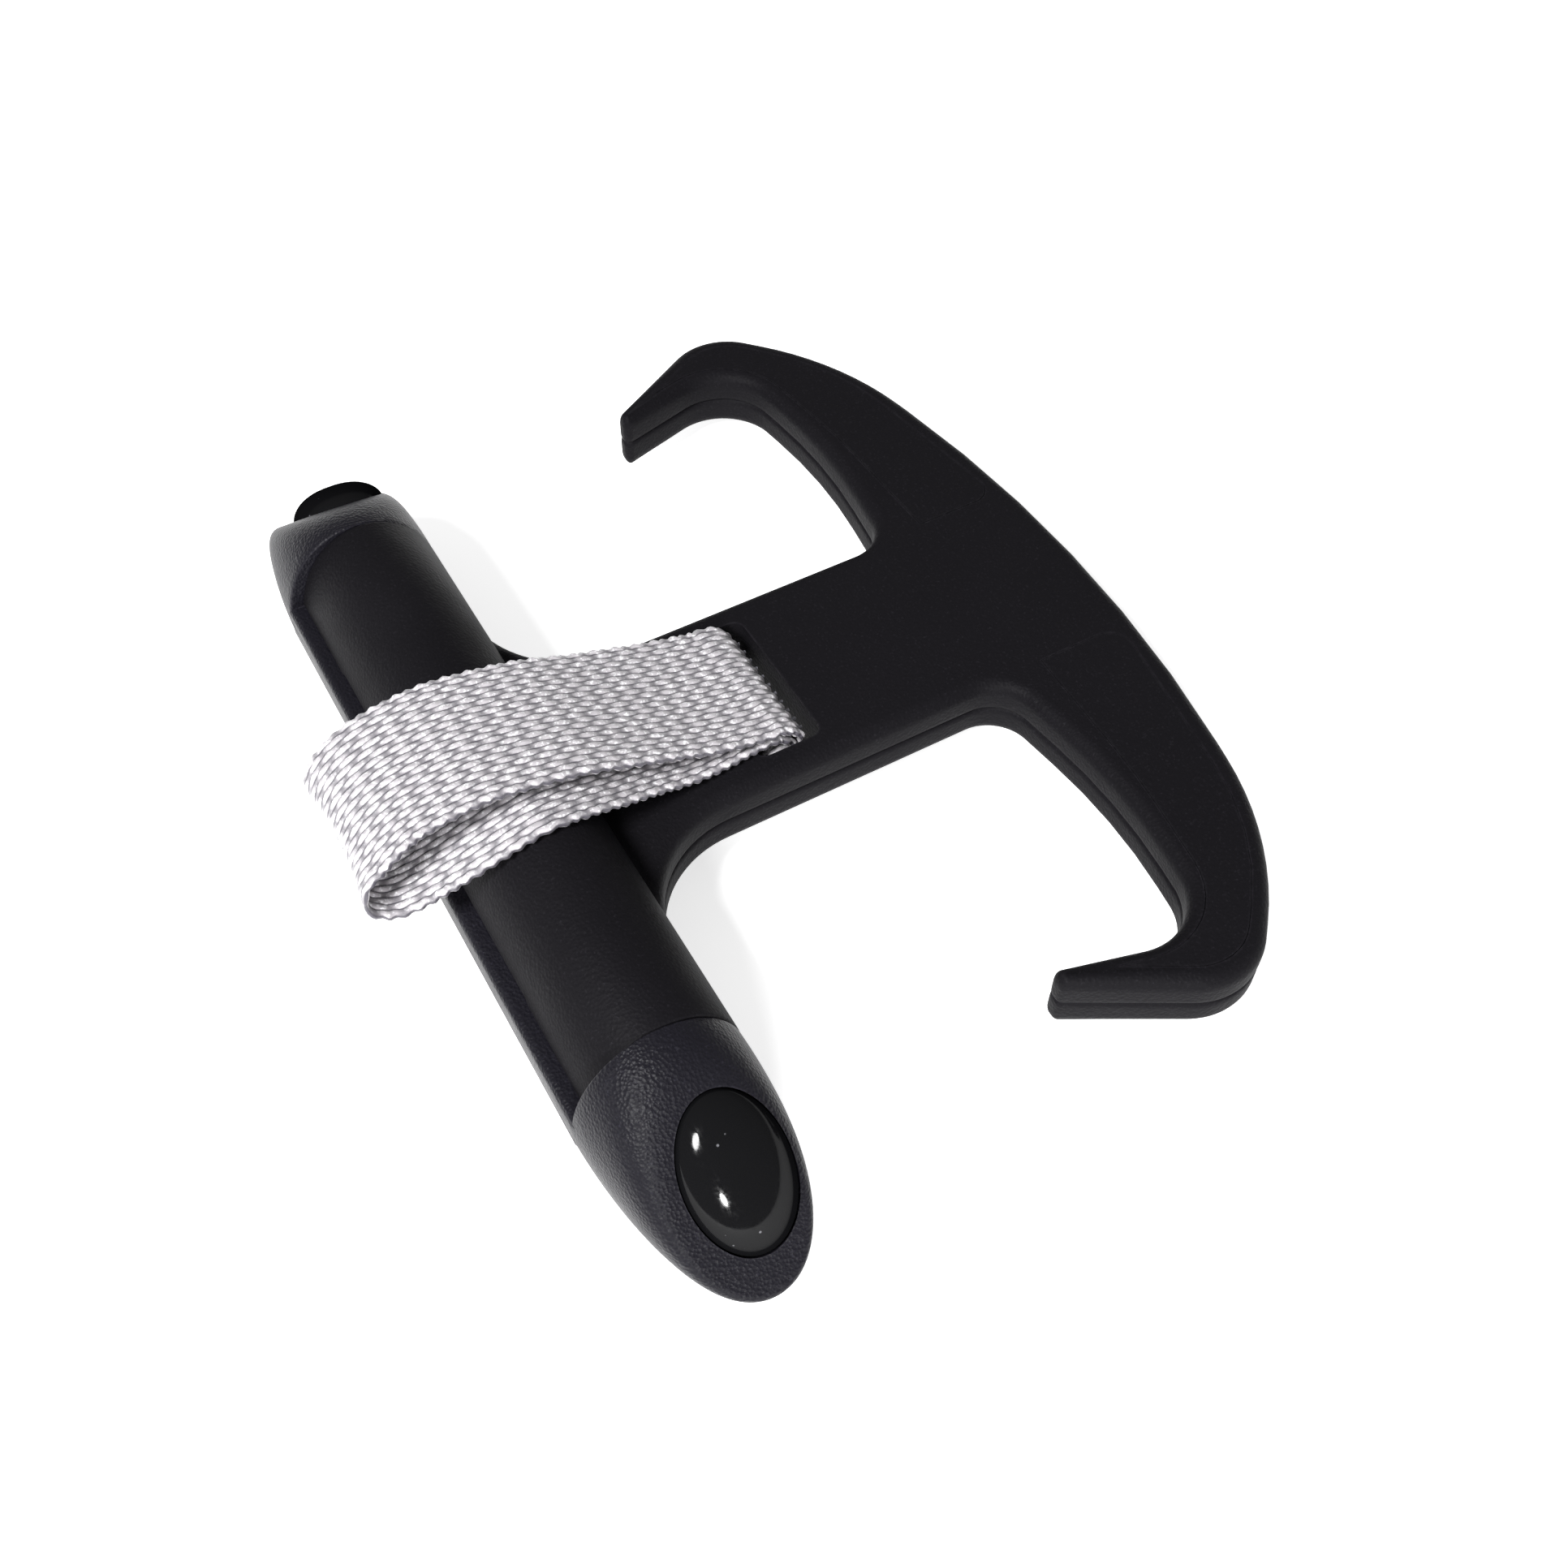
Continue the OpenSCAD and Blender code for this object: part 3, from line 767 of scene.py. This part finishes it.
def build_object():
    upper = shell("upper_shell_moulding", 1)
    for node in ("left_arm_pad", "right_arm_pad"):
        boolean(upper, grown_copy(node, 0.07), "DIFFERENCE")
    lower = shell("lower_shell_moulding", -1)
    for place in screw_places("plate_screws") + screw_places("grip_screws"):
        counterbore(lower, place)
    for obj, node in ((upper, "upper_shell"), (lower, "lower_shell")):
        soften(finish_shading(obj), 0.35)
        stand_for(obj, node, BODY)
        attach(obj, "handle")
    bow = soften(finish_shading(grip_bow()), 0.3)
    stand_for(bow, "grip_bow", BOW)
    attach(bow, "handle")
    for node, side in (("left_lens", 1), ("right_lens", -1)):
        dome = finish_shading(lens(node + "_dome", side), 60)
        stand_for(dome, node, LENS)
        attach(dome, "handle")
    eye = webbing("webbing_eye", eye_path())
    stand_for(eye, "strap_eye", YARN)
    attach(eye, "handle")
    loop = webbing("webbing_loop", loop_path())
    stand_for(loop, "strap_loop", YARN)
    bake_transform(loop)
    for node in ("cap_screws", "plate_screws", "grip_screws", "strap_pin"):
        paint(frame["nodes"][node], STEEL)
    paint(frame["nodes"]["strap_stitching"], THREAD)
    for node in ("left_arm_pad", "right_arm_pad"):
        soften(paint(frame["nodes"][node], PAD), 0.3)


# ---------------------------------------------------------------- stage

# The handle rests on its grip and on the edge of the anchor, so the floor is tilted to meet both.
FLOOR_Z = -(GRIP_B + 0.15) * MM
FLOOR_TILT = math.atan2(GRIP_B - HALF_T + 0.1, CROWN_X - 2)


def build_stage():
    """A plain pale floor that is seen only from above."""
    bm = bmesh.new()
    bmesh.ops.create_grid(bm, x_segments=1, y_segments=1, size=1.6)
    mesh = bpy.data.meshes.new("floor")
    bm.to_mesh(mesh)
    bm.free()
    floor = new_object("floor", mesh)
    floor.matrix_world = Matrix.Translation((0, 0, FLOOR_Z)) @ Matrix.Rotation(-FLOOR_TILT, 4, "Y")
    mat, tree, shader = material("pale_floor")
    place = object_place(tree)
    tree.links.new(mix(tree, noise(tree, place, 3), (0.93, 0.93, 0.93), (0.95, 0.95, 0.95)),
              shader.inputs["Base Color"])
    shader.inputs["Roughness"].default_value = 0.9
    shader.inputs["Specular IOR Level"].default_value = 0.1
    shader.inputs["Emission Color"].default_value = (1, 1, 1, 1)
    shader.inputs["Emission Strength"].default_value = 0.7
    from_below = tree.nodes.new("ShaderNodeNewGeometry").outputs["Backfacing"]
    clear = tree.nodes.new("ShaderNodeBsdfTransparent")
    one_sided = tree.nodes.new("ShaderNodeMixShader")
    tree.links.new(from_below, one_sided.inputs[0])
    tree.links.new(shader.outputs["BSDF"], one_sided.inputs[1])
    tree.links.new(clear.outputs["BSDF"], one_sided.inputs[2])
    tree.links.new(one_sided.outputs["Shader"], tree.nodes["Material Output"].inputs["Surface"])
    paint(floor, mat)


def area_light(name, location, target, size, power):
    """A round lamp that shines at target."""
    data = bpy.data.lights.new(name, "AREA")
    data.shape = "DISK"
    data.size = size
    data.energy = power
    light = new_object(name, data)
    light.location = location
    light.rotation_euler = (Vector(target) - Vector(location)).to_track_quat("-Z", "Y").to_euler()


def build_light():
    """Soft studio light: a white background that lights the object only dimly, and two lamps."""
    world = bpy.data.worlds.new("studio")
    world.use_nodes = True
    tree = world.node_tree
    background = tree.nodes["Background"]
    background.inputs["Color"].default_value = (1, 1, 1, 1)
    seen = tree.nodes.new("ShaderNodeMapRange")
    seen.inputs["To Min"].default_value = 0.3
    seen.inputs["To Max"].default_value = 1.0
    tree.links.new(tree.nodes.new("ShaderNodeLightPath").outputs["Is Camera Ray"], seen.inputs["Value"])
    tree.links.new(seen.outputs["Result"], background.inputs["Strength"])
    bpy.context.scene.world = world
    area_light("key", (-0.50, -0.22, 0.62), (0, 0, 0), 0.22, 10)
    area_light("glint", (-0.27, -0.76, 0.29), (0, -0.05, 0), 0.11, 4.5)
    bpy.context.scene.view_settings.view_transform = "Standard"


def build_camera():
    """Camera above the near end of the grip, given by its right, down and forward directions."""
    data = bpy.data.cameras.new("camera")
    data.lens = 40.0
    data.sensor_width = 36.0
    data.clip_start = 0.01
    camera = new_object("camera", data)
    right = Vector((0.86685, -0.49845, 0.01112))
    down = Vector((-0.38721, -0.68710, -0.61478))
    ahead = Vector((0.31408, 0.52860, -0.78862))
    turn = Matrix((right, -down, -ahead)).transposed()
    camera.matrix_world = Matrix.Translation((-0.03572, -0.12654, 0.17002)) @ turn.to_4x4()
    bpy.context.scene.camera = camera


build_object()
build_stage()
build_light()
build_camera()
